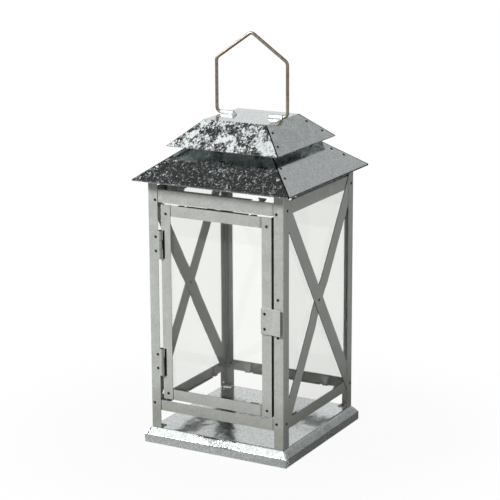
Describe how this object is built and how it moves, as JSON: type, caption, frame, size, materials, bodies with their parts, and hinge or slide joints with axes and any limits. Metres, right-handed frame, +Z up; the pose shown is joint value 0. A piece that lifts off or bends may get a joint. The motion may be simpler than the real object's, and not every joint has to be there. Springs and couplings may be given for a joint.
{
  "type": "candle lantern",
  "caption": "Square galvanised candle lantern with glass sides, crossed side braces, a hinged glass door, a tiered hipped roof and a folding wire handle.",
  "frame": {"origin": "middle of the underside of the base, on the surface that it stands on", "axes": "+Z up, -Y out of the door, +X towards the latch side of the door"},
  "size_m": [0.149, 0.149, 0.355],
  "materials": {
    "galvanised_sheet": "weathered zinc, dull",
    "spangled_sheet": "hot-dip zinc with a coarse spangle",
    "rivet_steel": "dull, darkened",
    "bright_eyelet": "bright",
    "steel_wire": "drawn, smooth",
    "window_glass": "clear",
    "ferrite": "matt, sintered"
  },
  "bodies": {
    "lantern": {"base_tray": "spangled_sheet", "brace_cross_rivets": "rivet_steel", "brace_left_inner": "galvanised_sheet", "brace_left_outer": "galvanised_sheet", "brace_right_inner": "galvanised_sheet", "brace_right_outer": "galvanised_sheet", "cap_crown": "spangled_sheet", "cap_hip_rivets": "rivet_steel", "cap_left": "spangled_sheet", "cap_right": "spangled_sheet", "catch_magnet": "ferrite", "catch_rivets": "rivet_steel", "catch_strap": "galvanised_sheet", "foot_rivets": "rivet_steel", "frame_rivets": "rivet_steel", "glass_left": "window_glass", "glass_rear": "window_glass", "glass_right": "window_glass", "hinge_lower_pin": "rivet_steel", "hinge_lower_post_leaf": "galvanised_sheet", "hinge_rivets": "rivet_steel", "hinge_upper_pin": "rivet_steel", "hinge_upper_post_leaf": "galvanised_sheet", "post_front_left": "galvanised_sheet", "post_front_right": "galvanised_sheet", "post_rear_left": "galvanised_sheet", "post_rear_right": "galvanised_sheet", "rail_front_lower": "galvanised_sheet", "rail_front_upper": "galvanised_sheet", "rail_left_lower": "galvanised_sheet", "rail_left_upper": "galvanised_sheet", "rail_rear_lower": "galvanised_sheet", "rail_rear_upper": "galvanised_sheet", "rail_right_lower": "galvanised_sheet", "rail_right_upper": "galvanised_sheet", "roof_eyelets": "bright_eyelet", "roof_front": "spangled_sheet", "roof_hip_rivets": "rivet_steel", "roof_left": "spangled_sheet", "roof_rear": "spangled_sheet", "roof_right": "spangled_sheet"},
    "door": {"door_stile_hinge_side": "galvanised_sheet", "door_stile_latch_side": "galvanised_sheet", "door_rail_bottom": "galvanised_sheet", "door_rail_top": "galvanised_sheet", "door_glass": "window_glass", "door_rivets": "rivet_steel", "latch_plate": "galvanised_sheet", "latch_plate_rivets": "rivet_steel", "hinge_lower_door_leaf": "galvanised_sheet", "hinge_upper_door_leaf": "galvanised_sheet"},
    "handle": {"handle_bail": "steel_wire"}
  },
  "joints": [
    {"name": "door_hinge", "type": "hinge", "parent": "lantern", "child": "door", "pos_m": [-0.0533, -0.06555, 0.12635], "axis": [0, 0, -1], "range_deg": [0, 170]},
    {"name": "handle_pivot", "type": "hinge", "parent": "lantern", "child": "handle", "pos_m": [0, 0, 0.28416], "axis": [1, 0, 0], "range_deg": [-95, 95]}
  ]
}
